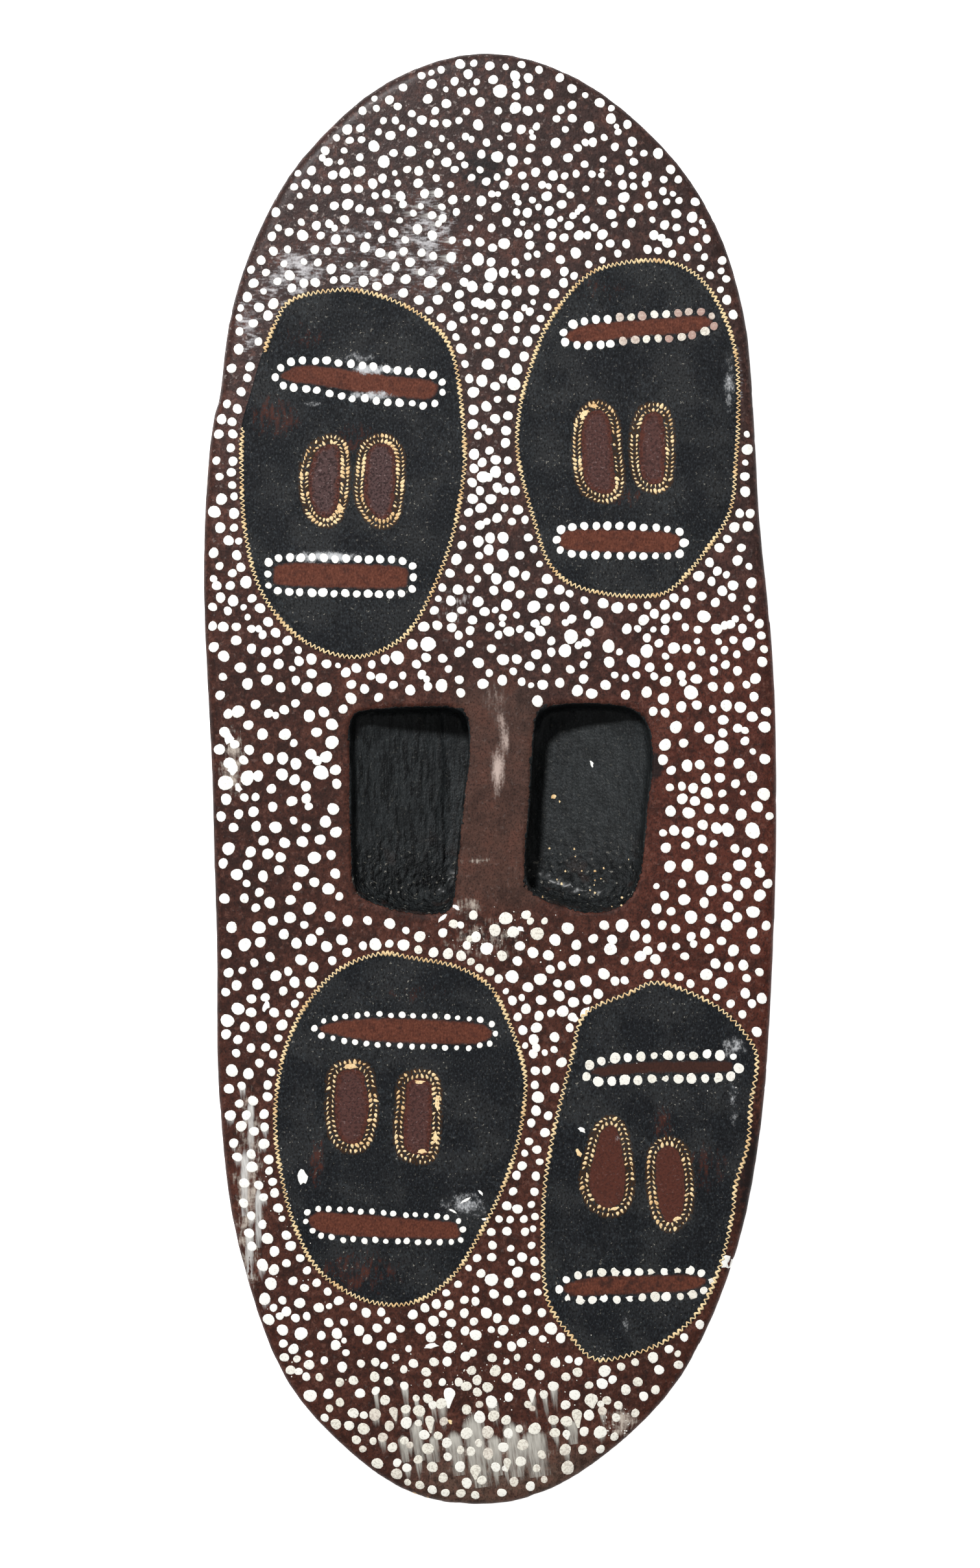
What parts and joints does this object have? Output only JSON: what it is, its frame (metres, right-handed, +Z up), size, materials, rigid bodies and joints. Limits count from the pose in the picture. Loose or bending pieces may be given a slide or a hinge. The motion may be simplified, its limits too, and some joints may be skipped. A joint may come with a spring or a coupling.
{
  "type": "carved wooden shield",
  "caption": "Long oval shield carved from one piece of wood: a grip bar between two hollows, painted mask-like heads and a brown ground covered in white dots.",
  "frame": {"origin": "under the middle of the shield, on the flat spot of the outer face that it lies on", "axes": "+X to the right across the grip face, +Y along the length towards the upper pair of heads, +Z up out of the grip face"},
  "size_m": [0.375, 0.95, 0.052],
  "materials": {
    "painted_wood": "red-brown earth paint on carved wood, satin to matt, worn at the rim",
    "black_paint": "matt blue-black paint with red-brown bands and eye ovals",
    "white_paint": "thick chalky white paint, matt",
    "cut_wood": "bare pale yellow wood in fresh gouge cuts"
  },
  "bodies": {
    "root": {"shield": "painted_wood"}
  },
  "joints": []
}
